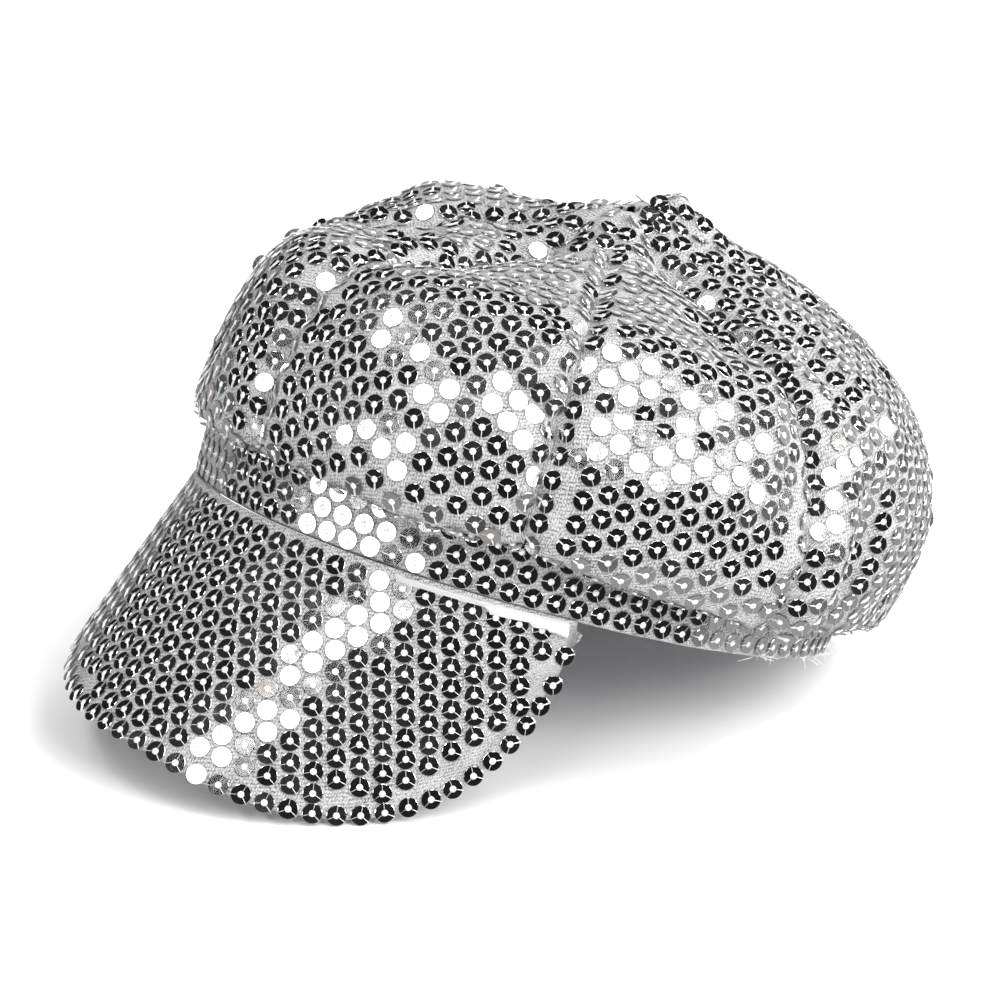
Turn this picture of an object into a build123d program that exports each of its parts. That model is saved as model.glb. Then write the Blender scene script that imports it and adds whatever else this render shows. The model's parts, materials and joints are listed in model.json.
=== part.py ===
"""Sequin newsboy cap: an eight-gore crown over a four-gore lining, a stiffened band and a boarded visor.

Millimetres, +Z up. The origin is the middle of the head opening, in the plane of the band's bottom edge.
-Y is the front of the cap and +X is the wearer's left. The cap is drawn as it lies on a table, on its
visor's edge and the back of its band, so everything is built on the cap plane, which leans backwards.
"""

from build123d import *
import math
import os

# Head opening and band
head_half_width = 85.0
head_half_length = 99.0
sweatband_thickness = 0.8
stiffener_thickness = 1.0
cloth_thickness = 1.2  # sequin cloth, with its sequins and backing
band_height = 24.0
stiffener_height = 20.0
elastic_height = 12.0
elastic_half_angle = 55.0  # the elastic runs this far round to each side of the back
elastic_end_gap = 2.0  # between the elastic's ends and the stiffener's
layer_gap = 0.1

# Crown, measured from the cap plane
gore_count = 8
lining_gore_count = 4
apex_height = 106.0
apex_radius = 4.0  # the gore points are gathered round this hole
crown_waist_height = 31.0  # where the crown is widest
front_overhang = 7.5
back_overhang = 20.5
front_fold_height = 18.5
back_fold_height = 7.0
crown_roundness = 2.25  # exponent of the crown's super-ellipse
gore_puff = 2.0  # how far the middle of a gore stands out past its seams
seam_gap_angle = 0.25
crown_seam_gap = 1.2  # from the band's outer face to the crown's gathered edge
crown_angles = (68, 48, 28, 0)  # where the crown's line is fixed, in degrees above its waist
lining_ease = 7.0  # the lining hangs this far inside the crown
lining_thickness = 0.6
lining_roundness = 2.0
lining_angles = (65, 45, 25)
patch_radius = 13.0
patch_thickness = 0.8
patch_clearance = 1.0  # room left for the gores' turned-in points

# Visor, which hangs steeply from the front of the band
visor_slope = 63.8  # degrees below the cap plane
visor_length = 71.6
visor_half_width = 80.6
visor_roundness = 3.27  # exponent of the rim's super-ellipse
visor_hook = 0.6  # how much more the visor arches at its rim than at its seam
visor_cover_thickness = 1.0
visor_board_thickness = 1.6
visor_lining_thickness = 0.6
visor_board_inset = 3.0
visor_layer_gap = 0.1
visor_drop = 0.4  # clear of the band's bottom edge
visor_end = 0.1  # each layer stops this far short of the point where seam and rim meet
visor_columns = 25  # points across each of the visor's faces
visor_rows = 7  # points along them, from seam to rim
visor_step = 0.001  # a small step along a face, for finding which way it looks

# Lying on a table, the back of the band is lower than the front. At this pitch both ends of the cap touch it
rest_pitch = 18.2

os.makedirs("parts", exist_ok=True)

pitch = math.radians(rest_pitch)
cap = Plane(origin=(0, 0, 0), x_dir=(1, 0, 0), z_dir=(0, math.sin(pitch), math.cos(pitch)))

band_thickness = sweatband_thickness + stiffener_thickness + cloth_thickness + 2 * layer_gap
band_half_width = head_half_width + band_thickness
band_half_length = head_half_length + band_thickness


def save(part, name):
    """Label a finished piece and write it."""
    part.label = name
    export_step(part, f"parts/{name}.step")


def cap_point(x, y, z):
    """A point given in the cap plane's own coordinates."""
    return cap.from_local_coords(Vector(x, y, z))


def blend_to_back(azimuth, front, back):
    """A value that eases from front to back as azimuth, in degrees from the front, goes round."""
    share = (1 - math.cos(math.radians(azimuth))) / 2
    return front + (back - front) * share


def oval_radius(azimuth, half_width, half_length):
    """Radius of an oval at an azimuth in degrees from the front."""
    across = math.sin(math.radians(azimuth)) / half_width
    along = math.cos(math.radians(azimuth)) / half_length
    return 1 / math.hypot(across, along)


def radial_plane(azimuth):
    """The upright plane through the cap's axis: x runs outwards and y runs up the axis."""
    outwards = cap.x_dir * math.sin(math.radians(azimuth)) - cap.y_dir * math.cos(math.radians(azimuth))
    return Plane(origin=cap.origin, x_dir=outwards, z_dir=outwards.cross(cap.z_dir))


def dome_points(radius, waist, height, roundness, angles):
    """Points of a super-ellipse quarter from near the apex down to the waist."""
    points = []
    for angle in angles:
        out = math.cos(math.radians(angle)) ** (2 / roundness)
        up = math.sin(math.radians(angle)) ** (2 / roundness)
        points.append((radius * out, waist + height * up))
    return points


def crown_line(azimuth, puff, inset):
    """The crown's meridian: apex, shoulder, waist, the fold that hangs over the band, and the band seam."""
    band_radius = oval_radius(azimuth, band_half_width, band_half_length)
    overhang = blend_to_back(azimuth, front_overhang, back_overhang)
    radius = band_radius + overhang + puff - inset
    height = apex_height - crown_waist_height + puff - inset
    fold_height = blend_to_back(azimuth, front_fold_height, back_fold_height) + inset
    seam_radius = band_radius + crown_seam_gap + inset
    points = [(apex_radius, crown_waist_height + height)]
    points += dome_points(radius, crown_waist_height, height, crown_roundness, crown_angles)
    points.append(((radius + seam_radius) / 2, fold_height))
    points.append((seam_radius, band_height - cloth_thickness + inset))
    return points


def lining_line(azimuth, puff, inset):
    """The lining's meridian: a plain dome from the apex down to the inside of the band's top edge."""
    crown_radius = oval_radius(azimuth, band_half_width, band_half_length)
    head_radius = oval_radius(azimuth, head_half_width, head_half_length)
    height = apex_height - crown_waist_height - lining_ease + puff - inset
    points = [(apex_radius, crown_waist_height + height)]
    points += dome_points(crown_radius - inset, crown_waist_height, height, lining_roundness, lining_angles)
    points.append((head_radius + sweatband_thickness - inset, band_height + layer_gap))
    return points


def gore_sections(line, start, end, thickness):
    """Sections to loft a gore through: its two seams and the fuller line midway between them."""
    middle = (start + end) / 2
    sections = []
    for azimuth, puff in ((start, 0), (middle, gore_puff), (end, 0)):
        outer = line(azimuth, puff, 0)
        inner = line(azimuth, puff, thickness)
        with BuildSketch(radial_plane(azimuth)) as section:
            with BuildLine():
                Spline(*outer)
                Spline(*inner)
                Line(outer[0], inner[0])
                Line(outer[-1], inner[-1])
            make_face()
        sections.append(section.sketch)
    return sections


# Crown gores, numbered round from the front towards the wearer's left
for index in range(gore_count):
    first = index * 360 / gore_count + seam_gap_angle
    last = (index + 1) * 360 / gore_count - seam_gap_angle
    sections = gore_sections(crown_line, first, last, cloth_thickness)
    with BuildPart() as crown_gore:
        loft(sections)
    save(crown_gore.part, f"crown_gore_{index + 1}")

# Lining gores, each behind two crown gores
for index in range(lining_gore_count):
    first = index * 360 / lining_gore_count + seam_gap_angle
    last = (index + 1) * 360 / lining_gore_count - seam_gap_angle
    sections = gore_sections(lining_line, first, last, lining_thickness)
    with BuildPart() as lining_gore:
        loft(sections)
    save(lining_gore.part, f"lining_gore_{index + 1}")

# Round patch inside the crown's apex that holds the gathered gore points
patch_height = apex_height - cloth_thickness - patch_thickness - patch_clearance
with BuildPart() as apex_patch:
    with BuildSketch(cap.offset(patch_height)):
        Circle(patch_radius)
    extrude(amount=patch_thickness)
save(apex_patch.part, "apex_patch")


def oval_band(inner_offset, thickness, height, bottom):
    """A closed oval strip standing on the cap plane, outside the head opening by inner_offset."""
    with BuildPart() as strip:
        with BuildSketch(cap.offset(bottom)):
            Ellipse(
                head_half_width + inner_offset + thickness,
                head_half_length + inner_offset + thickness,
            )
            Ellipse(head_half_width + inner_offset, head_half_length + inner_offset, mode=Mode.SUBTRACT)
        extrude(amount=height)
    return strip.part


def back_wedge(half_angle, gap):
    """A wedge that covers the back of the band, half_angle to each side, pulled in by gap."""
    reach = 2 * band_half_length
    spread = reach * math.tan(math.radians(half_angle))
    with BuildPart() as wedge:
        with BuildSketch(cap.offset(-band_height)):
            with BuildLine():
                Polyline((0, gap), (spread, reach + gap), (-spread, reach + gap), close=True)
            make_face()
        extrude(amount=3 * band_height)
    return wedge.part


# Band: sweatband inside, stiffener and elastic in the middle, sequin cloth outside
with BuildPart() as sweatband:
    add(oval_band(0, sweatband_thickness, band_height, 0))
save(sweatband.part, "sweatband")

middle_offset = sweatband_thickness + layer_gap
with BuildPart() as band_stiffener:
    add(oval_band(middle_offset, stiffener_thickness, stiffener_height, (band_height - stiffener_height) / 2))
    add(back_wedge(elastic_half_angle, 0), mode=Mode.SUBTRACT)
save(band_stiffener.part, "band_stiffener")

with BuildPart() as back_elastic:
    add(oval_band(middle_offset, stiffener_thickness, elastic_height, (band_height - elastic_height) / 2))
    add(back_wedge(elastic_half_angle, elastic_end_gap), mode=Mode.INTERSECT)
save(back_elastic.part, "back_elastic")

outer_offset = middle_offset + stiffener_thickness + layer_gap
with BuildPart() as band_cover:
    add(oval_band(outer_offset, cloth_thickness, band_height, 0))
save(band_cover.part, "band_cover")


def visor_fullness(x, half_width):
    """How far the rim stands off the seam at x, as a share of the visor's length."""
    return math.sqrt(1 - (abs(x) / half_width) ** visor_roundness)


def visor_point(x, share, inset):
    """A point of the visor's upper face. Share runs from 0 at the seam to 1 at the rim, less inset."""
    slope = math.radians(visor_slope)
    set_back = band_half_length * (1 - math.sqrt(1 - (x / band_half_width) ** 2))
    seam = -set_back * math.cos(slope)
    full = visor_fullness(x, visor_half_width)
    rim = seam + (visor_length - seam) * full
    down = seam + (visor_length - inset - seam) * visor_fullness(x, visor_half_width - inset) * share
    hook = 1 + visor_hook * full * (down - seam) / (rim - seam)
    arch = -set_back * math.sin(slope) * hook
    back = -band_half_length - down * math.cos(slope) - arch * math.sin(slope)
    up = -down * math.sin(slope) + arch * math.cos(slope)
    return Vector(x, back, up - visor_drop)


def visor_face(inset, depth):
    """A face parallel to the visor's upper face, depth below it."""
    reach = visor_half_width - inset - visor_end
    rows = []
    for column in range(visor_columns):
        x = reach * math.sin(math.pi * (column / (visor_columns - 1) - 0.5))
        row = []
        for step in range(visor_rows):
            share = step / (visor_rows - 1)
            here = visor_point(x, share, inset)
            beside = visor_point(x + visor_step, share, inset) - here
            beyond = visor_point(x, share + visor_step, inset) - here
            normal = beyond.cross(beside).normalized()
            lowered = here - normal * depth
            row.append(cap_point(lowered.X, lowered.Y, lowered.Z))
        rows.append(row)
    return Face.make_surface_from_array_of_points(rows)


def visor_layer(depth, thickness, inset):
    """A layer of the visor between two parallel faces, joined by ruled edges."""
    upper = visor_face(inset, depth)
    lower = visor_face(inset, depth + thickness)
    walls = []
    for edge in upper.edges():
        partner = lower.edges().sort_by_distance(edge.center())[0]
        walls.append(Face.make_surface_from_curves(edge, partner))
    return Solid(Shell([upper, lower, *walls]))


# Visor: sequin cloth on top, the board in the middle, lining underneath
with BuildPart() as visor_cover:
    add(visor_layer(0, visor_cover_thickness, 0))
save(visor_cover.part, "visor_cover")

board_depth = visor_cover_thickness + visor_layer_gap
with BuildPart() as visor_board:
    add(visor_layer(board_depth, visor_board_thickness, visor_board_inset))
save(visor_board.part, "visor_board")

lining_depth = board_depth + visor_board_thickness + visor_layer_gap
with BuildPart() as visor_lining:
    add(visor_layer(lining_depth, visor_lining_thickness, 0))
save(visor_lining.part, "visor_lining")

# Joint places for the record, in metres
hinge = cap_point(0, -band_half_length, -visor_drop) / 1000
print("visor hinge", [round(v, 5) for v in hinge])
print("cap axis", [round(v, 5) for v in cap.z_dir])
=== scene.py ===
"""Sequin newsboy cap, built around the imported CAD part.

Shapes are worked out in millimetres in the cap's own coordinates: x is the wearer's left, y the back, z up
the cap's axis from the band's bottom edge. Azimuth is in degrees from the front towards the wearer's left.
Along a crown meridian, the angle is 90 at the apex, 0 at the waist and -180 at the crown's inner edge.
"""

import json
import math

import bpy
import numpy as np
from mathutils import Matrix, Vector


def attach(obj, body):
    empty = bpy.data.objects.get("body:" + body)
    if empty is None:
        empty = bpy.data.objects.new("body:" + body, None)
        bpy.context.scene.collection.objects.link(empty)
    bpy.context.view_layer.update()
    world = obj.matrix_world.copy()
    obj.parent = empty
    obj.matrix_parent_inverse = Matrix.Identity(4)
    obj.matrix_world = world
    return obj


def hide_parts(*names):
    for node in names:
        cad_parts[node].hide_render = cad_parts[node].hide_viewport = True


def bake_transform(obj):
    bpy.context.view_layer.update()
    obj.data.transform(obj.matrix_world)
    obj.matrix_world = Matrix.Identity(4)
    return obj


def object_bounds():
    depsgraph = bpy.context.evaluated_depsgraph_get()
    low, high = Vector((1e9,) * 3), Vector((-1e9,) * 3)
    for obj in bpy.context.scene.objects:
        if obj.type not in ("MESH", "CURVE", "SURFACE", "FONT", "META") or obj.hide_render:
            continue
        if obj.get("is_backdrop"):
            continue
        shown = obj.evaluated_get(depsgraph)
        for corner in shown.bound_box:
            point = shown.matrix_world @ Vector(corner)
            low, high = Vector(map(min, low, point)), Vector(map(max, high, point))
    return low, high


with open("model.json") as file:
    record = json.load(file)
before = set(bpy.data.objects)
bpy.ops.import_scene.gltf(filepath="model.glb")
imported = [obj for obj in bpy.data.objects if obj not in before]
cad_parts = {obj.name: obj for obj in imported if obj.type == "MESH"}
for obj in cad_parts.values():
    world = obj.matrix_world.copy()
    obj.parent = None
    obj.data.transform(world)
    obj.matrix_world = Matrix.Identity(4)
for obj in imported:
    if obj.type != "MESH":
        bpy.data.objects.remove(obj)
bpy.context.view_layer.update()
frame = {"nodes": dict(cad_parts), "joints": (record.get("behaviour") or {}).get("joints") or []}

MM = 0.001
rng = np.random.default_rng(31)

# ---- the cap's own coordinates
joints = {joint["name"]: joint for joint in frame["joints"]}
CAP_UP = -np.array(joints["crown_press"]["axis"], float)
CAP_LEFT = np.array([1.0, 0.0, 0.0])
CAP_BACK = np.cross(CAP_UP, CAP_LEFT)
CAP_AXES = np.array([CAP_LEFT, CAP_BACK, CAP_UP])


def to_row(points):
    """Cap millimetres to the row frame's metres."""
    return np.asarray(points, float) @ CAP_AXES * MM


def cap_box(node):
    """Lowest and highest corner of a CAD node in cap millimetres."""
    mesh = frame["nodes"][node].data
    points = np.array([vertex.co for vertex in mesh.vertices]) @ CAP_AXES.T / MM
    return points.min(0), points.max(0)


# ---- driving sizes, from the frame
HALF_WIDTH, HALF_LENGTH, BAND_HEIGHT = cap_box("band_cover")[1]
SWEATBAND_INSET = 1.9
HEAD_HALF_WIDTH, HEAD_HALF_LENGTH = -cap_box("band_stiffener")[0][:2] - SWEATBAND_INSET
FRONT_REACH = -min(cap_box("crown_gore_1")[0][1], cap_box("crown_gore_8")[0][1])
BACK_REACH = max(cap_box("crown_gore_4")[1][1], cap_box("crown_gore_5")[1][1])
PATCH_TOP = cap_box("apex_patch")[1][2]
PATCH_RADIUS = cap_box("apex_patch")[1][0]

GORES = 8
GORE_ANGLE = 360 / GORES
LINING_GORES = 4
LINING_ANGLE = 360 / LINING_GORES
APEX_ABOVE_PATCH = 2.2
APEX_HEIGHT = PATCH_TOP + APEX_ABOVE_PATCH
WAIST_HEIGHT = 31.0
FRONT_OVERHANG = FRONT_REACH - HALF_LENGTH
BACK_OVERHANG = BACK_REACH - HALF_LENGTH
FRONT_FOLD, BACK_FOLD = 18.5, 7.0
ROUNDNESS = 2.25
SEAM_GAP = 1.2
TOP_ANGLE, EDGE_ANGLE = 88.6, -176.0
CLOTH = 0.6
PUFF = 3.0

# Each seam is a valley this deep and half this wide, and the cloth puckers this high beside it
SEAM_DEPTH = 2.2
SEAM_SPREAD = 2.8
PUCKER = 0.9
PUCKER_REACH = 3.0

SEQUIN_RADIUS = 2.75
SEQUIN_HOLE = 0.95
SEQUIN_THICKNESS = 0.14
SEQUIN_BEVEL = 0.1
SEQUIN_SIDES = 20
SEQUIN_STANDOFF = 0.4
PITCH = 6.55
ROW_PITCH = PITCH * math.sqrt(3) / 2
SEAM_MARGIN = 2.7
EDGE_MARGIN = 1.2
LATTICE_ROOM = 0.84 * PITCH
CLOSEST = 0.78 * PITCH
LAST_SEQUIN_ANGLE = -112.0
TILT_SPREAD = 0.022
TURN_SPREAD = 0.12
THREAD_HALF_WIDTH, LOOSE_THREAD_HALF_WIDTH = 0.26, 0.05
THREAD_HALF_HEIGHT = 0.08
KNOT_RADIUS, KNOT_TOP, KNOT_BOTTOM = 0.98, 0.18, -0.35

VISOR_SLOPE = math.radians(64.8)
VISOR_LENGTH = 70.0
VISOR_HALF_WIDTH = 77.9
RIM_INSET = 0.5
# The visor has been bent out of true: these are for the wearer's right, then the left
VISOR_ROUNDNESS = 1.8, 3.7
VISOR_HOOK = 0.03, 0.82
# How far the visor's board and lining lie below its face
BOARD_DEPTH, VISOR_LINING_DEPTH = 0.75, 2.15


# ---- small curves
def smooth(x):
    """Eases from 0 to 1."""
    x = np.clip(x, 0, 1)
    return x * x * (3 - 2 * x)


def plateau(x, rise, flat_start, flat_end, fall):
    """Eases up from rise to flat_start and down again from flat_end to fall."""
    return smooth((x - rise) / (flat_start - rise)) * smooth((fall - x) / (fall - flat_end))


def unit(vectors):
    """Vectors brought to length 1."""
    return vectors / np.maximum(np.linalg.norm(vectors, axis=-1, keepdims=True), 1e-9)


def distances_along(points):
    """How far along a line each of its points is."""
    return np.concatenate([[0], np.cumsum(np.linalg.norm(np.diff(points, axis=0), axis=-1))])


def wrapped(azimuth):
    """An azimuth between -180 and 180."""
    return (np.asarray(azimuth, float) + 180) % 360 - 180


def oval(azimuth, half_width, half_length):
    """Radius of an ellipse at an azimuth."""
    turn = np.radians(azimuth)
    return 1 / np.hypot(np.sin(turn) / half_width, np.cos(turn) / half_length)


def front_to_back(azimuth, front, back):
    """Goes smoothly from one value at the front to another at the back."""
    return front + (back - front) * (1 - np.cos(np.radians(azimuth))) / 2


def around(azimuth, radius, height):
    """Points at a radius and height round the cap's axis."""
    turn = np.radians(azimuth)
    return np.stack(np.broadcast_arrays(radius * np.sin(turn), -radius * np.cos(turn), height), -1)


# ---- the crown's cloth
def waist_radius(azimuth):
    """The crown's radius where it is widest."""
    overhang = front_to_back(azimuth, FRONT_OVERHANG, BACK_OVERHANG)
    return oval(azimuth, HALF_WIDTH, HALF_LENGTH) + overhang


def slump(azimuth, share):
    """How far the crown has sunk between its apex and its shoulder, deepest over the forehead."""
    azimuths = (-180, -90, -45, 0, 45, 90, 135, 180)
    depths = (0, 2, 10, 20, 12, 14, 0, 0)
    return np.interp(wrapped(azimuth), azimuths, depths) * plateau(share, 0.02, 0.30, 0.55, 0.93)


def crown_smooth(azimuth, angle):
    """The crown without seams and folds: a super-ellipse above the waist, a half ellipse tucked under it."""
    azimuth, angle = np.broadcast_arrays(np.asarray(azimuth, float), np.asarray(angle, float))
    waist = waist_radius(azimuth)
    inner = oval(azimuth, HALF_WIDTH, HALF_LENGTH) + SEAM_GAP
    fold = front_to_back(azimuth, FRONT_FOLD, BACK_FOLD)
    out, up = np.abs(np.cos(np.radians(angle))), np.abs(np.sin(np.radians(angle)))
    dome_radius = waist * out ** (2 / ROUNDNESS)
    dome_height = WAIST_HEIGHT + (APEX_HEIGHT - WAIST_HEIGHT) * up ** (2 / ROUNDNESS)
    dome_height = dome_height - slump(azimuth, dome_radius / waist)
    tuck_radius = (waist + inner) / 2 + (waist - inner) / 2 * np.cos(np.radians(angle))
    tuck_height = WAIST_HEIGHT - (WAIST_HEIGHT - fold) * up
    radius = np.where(angle > 0, dome_radius, tuck_radius)
    return around(azimuth, radius, np.where(angle > 0, dome_height, tuck_height))


def crown_outward(azimuth, angle):
    """Roughly the direction that the crown faces."""
    lean = np.radians(np.clip(angle, -70, 90))
    return around(azimuth, np.cos(lean), np.sin(lean))


# Each fold is a soft ridge (+) or valley (-): (azimuth, angle) of its two ends, height and half width in mm
FOLDS = (
    ((-46, 42), (-30, -40), -6.0, 24.0),
    ((-82, 60), (-70, 48), 6.0, 17.0),
    ((-112, 80), (-100, 72), -3.5, 12.0),
    ((150, 58), (143, 8), -3.0, 25.0),
    ((-7, 20), (-10, 66), 4.5, 5.5),
    ((-24, 6), (-30, 60), -10.0, 11.0),
    ((-43, 22), (-50, 62), 3.5, 6.0),
    ((-58, 24), (-66, 58), -4.0, 9.0),
    ((152, 82), (-178, 86), 8.5, 9.0),
    ((74, 58), (88, 38), -4.0, 5.0),
    ((88, 38), (93, 12), -3.5, 5.5),
    ((70, 22), (76, 50), -3.5, 4.5),
    ((80, 16), (83, 42), 3.0, 5.0),
    ((106, 58), (101, 34), -4.0, 5.0),
    ((98, 60), (112, 30), 2.5, 5.0),
    ((50, 17), (67, 20), -2.4, 3.2),
    ((52, 6), (80, 9), 2.0, 5.0),
    ((37, 17), (44, 12), -3.0, 5.0),
    ((18, 20), (30, 24), -1.6, 5.0),
    ((92, 8), (90, -60), 5.0, 14.0),
    ((97, 12), (95, -66), 4.5, 4.5),
    ((106, 12), (105, -70), -8.0, 7.0),
    ((112, -48), (142, -38), -8.0, 17.0),
    ((118, 30), (140, 26), -3.0, 6.0),
    ((-110, 10), (-92, 36), -3.0, 6.0),
    ((-150, 20), (-156, 50), -3.0, 6.0),
    ((160, 12), (172, 40), -3.0, 6.0),
)
# Each ripple: its wave in radians per mm, its phase and its height in mm
RIPPLES = [
    (rng.normal(size=3) / 14.0, rng.uniform(0, 2 * math.pi), 0.22 * rng.uniform(0.6, 1.0))
    for _ in range(9)
]
PUCKER_PHASES = rng.uniform(0, 2 * math.pi, GORES)


def fold_relief(points):
    """Height of all the folds at points on the smooth crown."""
    relief = np.zeros(points.shape[:-1])
    for start, end, height, width in FOLDS:
        first = crown_smooth(*start)
        along = crown_smooth(*end) - first
        share = np.clip((points - first) @ along / (along @ along), 0, 1)
        distance = np.linalg.norm(points - first - share[..., None] * along, axis=-1)
        relief += height * np.exp(-((distance / width) ** 2)) * (0.55 + 0.45 * np.sin(math.pi * share))
    return relief


def ripple_relief(points):
    """Low, irregular unevenness, as soft cloth has."""
    return sum(size * np.sin(points @ wave + phase) for wave, phase, size in RIPPLES)


def seam_relief(azimuth, points):
    """Each gore stands proud between its seams and puckers beside them, about every 15 mm."""
    radius = np.hypot(points[..., 0], points[..., 1])
    place = (np.asarray(azimuth) / GORE_ANGLE) % 1
    seam_distance = np.minimum(place, 1 - place) * math.radians(GORE_ANGLE) * radius
    seam = np.rint(np.asarray(azimuth) / GORE_ANGLE).astype(int) % GORES
    puff = PUFF * np.sin(math.pi * place) ** 0.8 * np.clip(radius / 60, 0, 1)
    valley = SEAM_DEPTH * np.exp(-((seam_distance / SEAM_SPREAD) ** 2)) * np.clip(radius / 30, 0, 1)
    side = np.where(place < 0.5, 0.0, 2.0)
    pucker = np.sin(0.42 * points[..., 2] - 0.25 * radius + PUCKER_PHASES[seam] + side)
    pucker = pucker * np.exp(-((seam_distance / PUCKER_REACH - 1) ** 2)) * np.clip(radius / 40, 0, 1)
    return puff - valley + PUCKER * pucker


def crown(azimuth, angle, depth=0.0):
    """A point of the crown's cloth, depth below its outer face."""
    azimuth, angle = np.broadcast_arrays(np.asarray(azimuth, float), np.asarray(angle, float))
    base = crown_smooth(azimuth, angle)
    relief = seam_relief(azimuth, base) + fold_relief(base) + ripple_relief(base)
    relief = relief * (1 - 0.85 * smooth((-60 - angle) / 60)) - depth
    return base + relief[..., None] * crown_outward(azimuth, angle)


# ---- the visor
def visor(x, share):
    """A point of the visor's upper face: x across it, share from its seam (0) to its rim (1)."""
    x, share = np.broadcast_arrays(np.asarray(x, float), np.asarray(share, float))
    set_back = HALF_LENGTH * (1 - np.sqrt(1 - (x / HALF_WIDTH) ** 2))
    arch = -set_back * math.sin(VISOR_SLOPE)
    seam = -set_back * math.cos(VISOR_SLOPE)
    roundness = np.where(x < 0, *VISOR_ROUNDNESS)
    hook = np.where(x < 0, *VISOR_HOOK)
    fullness = np.sqrt(np.clip(1 - np.abs(x / VISOR_HALF_WIDTH) ** roundness, 0, 1))
    rim = seam * (1 - fullness) + VISOR_LENGTH * fullness
    down = seam + (rim - seam) * share
    seam_roll = 0.9 * np.exp(-(((down - seam) / 2.2) ** 2))
    arch = arch * (1 + hook * share * fullness) + seam_roll
    back = -HALF_LENGTH - down * math.cos(VISOR_SLOPE) - arch * math.sin(VISOR_SLOPE)
    up = -down * math.sin(VISOR_SLOPE) + arch * math.cos(VISOR_SLOPE)
    return np.stack([x, back, up], -1)


# ---- meshes
def directions(surface, first, second, step_first=0.8, step_second=0.8):
    """Unit tangents and outward normal of a surface at the parameters first, second."""
    along = surface(first + step_first, second) - surface(first - step_first, second)
    across = surface(first, second + step_second) - surface(first, second - step_second)
    along, normal = unit(along), unit(np.cross(along, across))
    return along, np.cross(normal, along), normal


def new_piece(name, points, faces, material, flat=None, chance=None, shade_smooth=True):
    """A mesh object from cap-millimetre points; flat and chance are attributes that materials read."""
    mesh = bpy.data.meshes.new(name)
    mesh.from_pydata(to_row(points).tolist(), [], np.asarray(faces).tolist())
    if flat is not None:
        attribute = mesh.attributes.new("flat", "FLOAT_VECTOR", "POINT")
        attribute.data.foreach_set("vector", np.asarray(flat, np.float32).ravel())
    if chance is not None:
        attribute = mesh.attributes.new("chance", "FLOAT", "POINT")
        attribute.data.foreach_set("value", np.asarray(chance, np.float32))
    mesh.polygons.foreach_set("use_smooth", [shade_smooth] * len(mesh.polygons))
    mesh.materials.append(material)
    mesh.update()
    piece = bpy.data.objects.new(name, mesh)
    bpy.context.scene.collection.objects.link(piece)
    return piece


def grid_normals(grid, closed):
    """Unit normals of a grid of points."""
    if closed:
        across = np.roll(grid, -1, 1) - np.roll(grid, 1, 1)
    else:
        across = np.gradient(grid, axis=1)
    return unit(np.cross(np.gradient(grid, axis=0), across))


def flat_places(grid):
    """How far each grid point is along and across the cloth, in millimetres."""
    down = np.zeros(grid.shape[:2])
    down[1:] = np.cumsum(np.linalg.norm(np.diff(grid, axis=0), axis=-1), 0)
    across = np.zeros(grid.shape[:2])
    across[:, 1:] = np.cumsum(np.linalg.norm(np.diff(grid, axis=1), axis=-1), 1)
    across = across - across[:, -1:] / 2
    return np.stack([across, down, np.zeros_like(down)], -1)


def cloth_piece(name, grid, material, closed=False, thickness=CLOTH):
    """A sheet of cloth with two faces and a rim. The grid is its outer face."""
    rows, columns = grid.shape[:2]
    inner = grid - thickness * grid_normals(grid, closed)
    flat = flat_places(grid)
    index = np.arange(rows * columns).reshape(rows, columns)
    ring = np.concatenate([index, index[:, :1]], 1) if closed else index
    quads = np.stack([ring[:-1, :-1], ring[1:, :-1], ring[1:, 1:], ring[:-1, 1:]], -1).reshape(-1, 4)
    under = quads[:, ::-1] + rows * columns
    borders = [ring[0], ring[-1][::-1]]
    if not closed:
        borders += [index[::-1, 0], index[:, -1]]
    rims = []
    for border in borders:
        low = border + rows * columns
        rims.append(np.stack([border[:-1], border[1:], low[1:], low[:-1]], -1))
    points = np.concatenate([grid.reshape(-1, 3), inner.reshape(-1, 3)])
    flats = np.concatenate([flat.reshape(-1, 3)] * 2)
    return new_piece(name, points, np.concatenate([quads, under, *rims]), material, flats)


def swept_tubes(paths, half_width, half_height):
    """Points and faces of four-sided tubes that follow paths (count, steps, 3)."""
    count, steps = paths.shape[:2]
    along = unit(np.gradient(paths, axis=1))
    side = unit(np.cross(along, np.array([0.31, 0.52, 0.79])))
    lift = np.cross(side, along)
    corners = [side * half_width, lift * half_height, -side * half_width, -lift * half_height]
    points = np.stack([paths + corner for corner in corners], 2)
    index = np.arange(count * steps * 4).reshape(count, steps, 4)
    turned = np.roll(index, -1, 2)
    walls = np.stack([index[:, :-1], turned[:, :-1], turned[:, 1:], index[:, 1:]], -1).reshape(-1, 4)
    ends = np.concatenate([index[:, 0, ::-1], index[:, -1]])
    return points.reshape(-1, 3), np.concatenate([walls, ends])


# ---- sequins
def circle(radius, height, sides):
    """Points evenly round a circle."""
    turn = np.arange(sides) * 2 * math.pi / sides
    return np.stack([radius * np.cos(turn), radius * np.sin(turn), np.full(sides, height)], -1)


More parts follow.
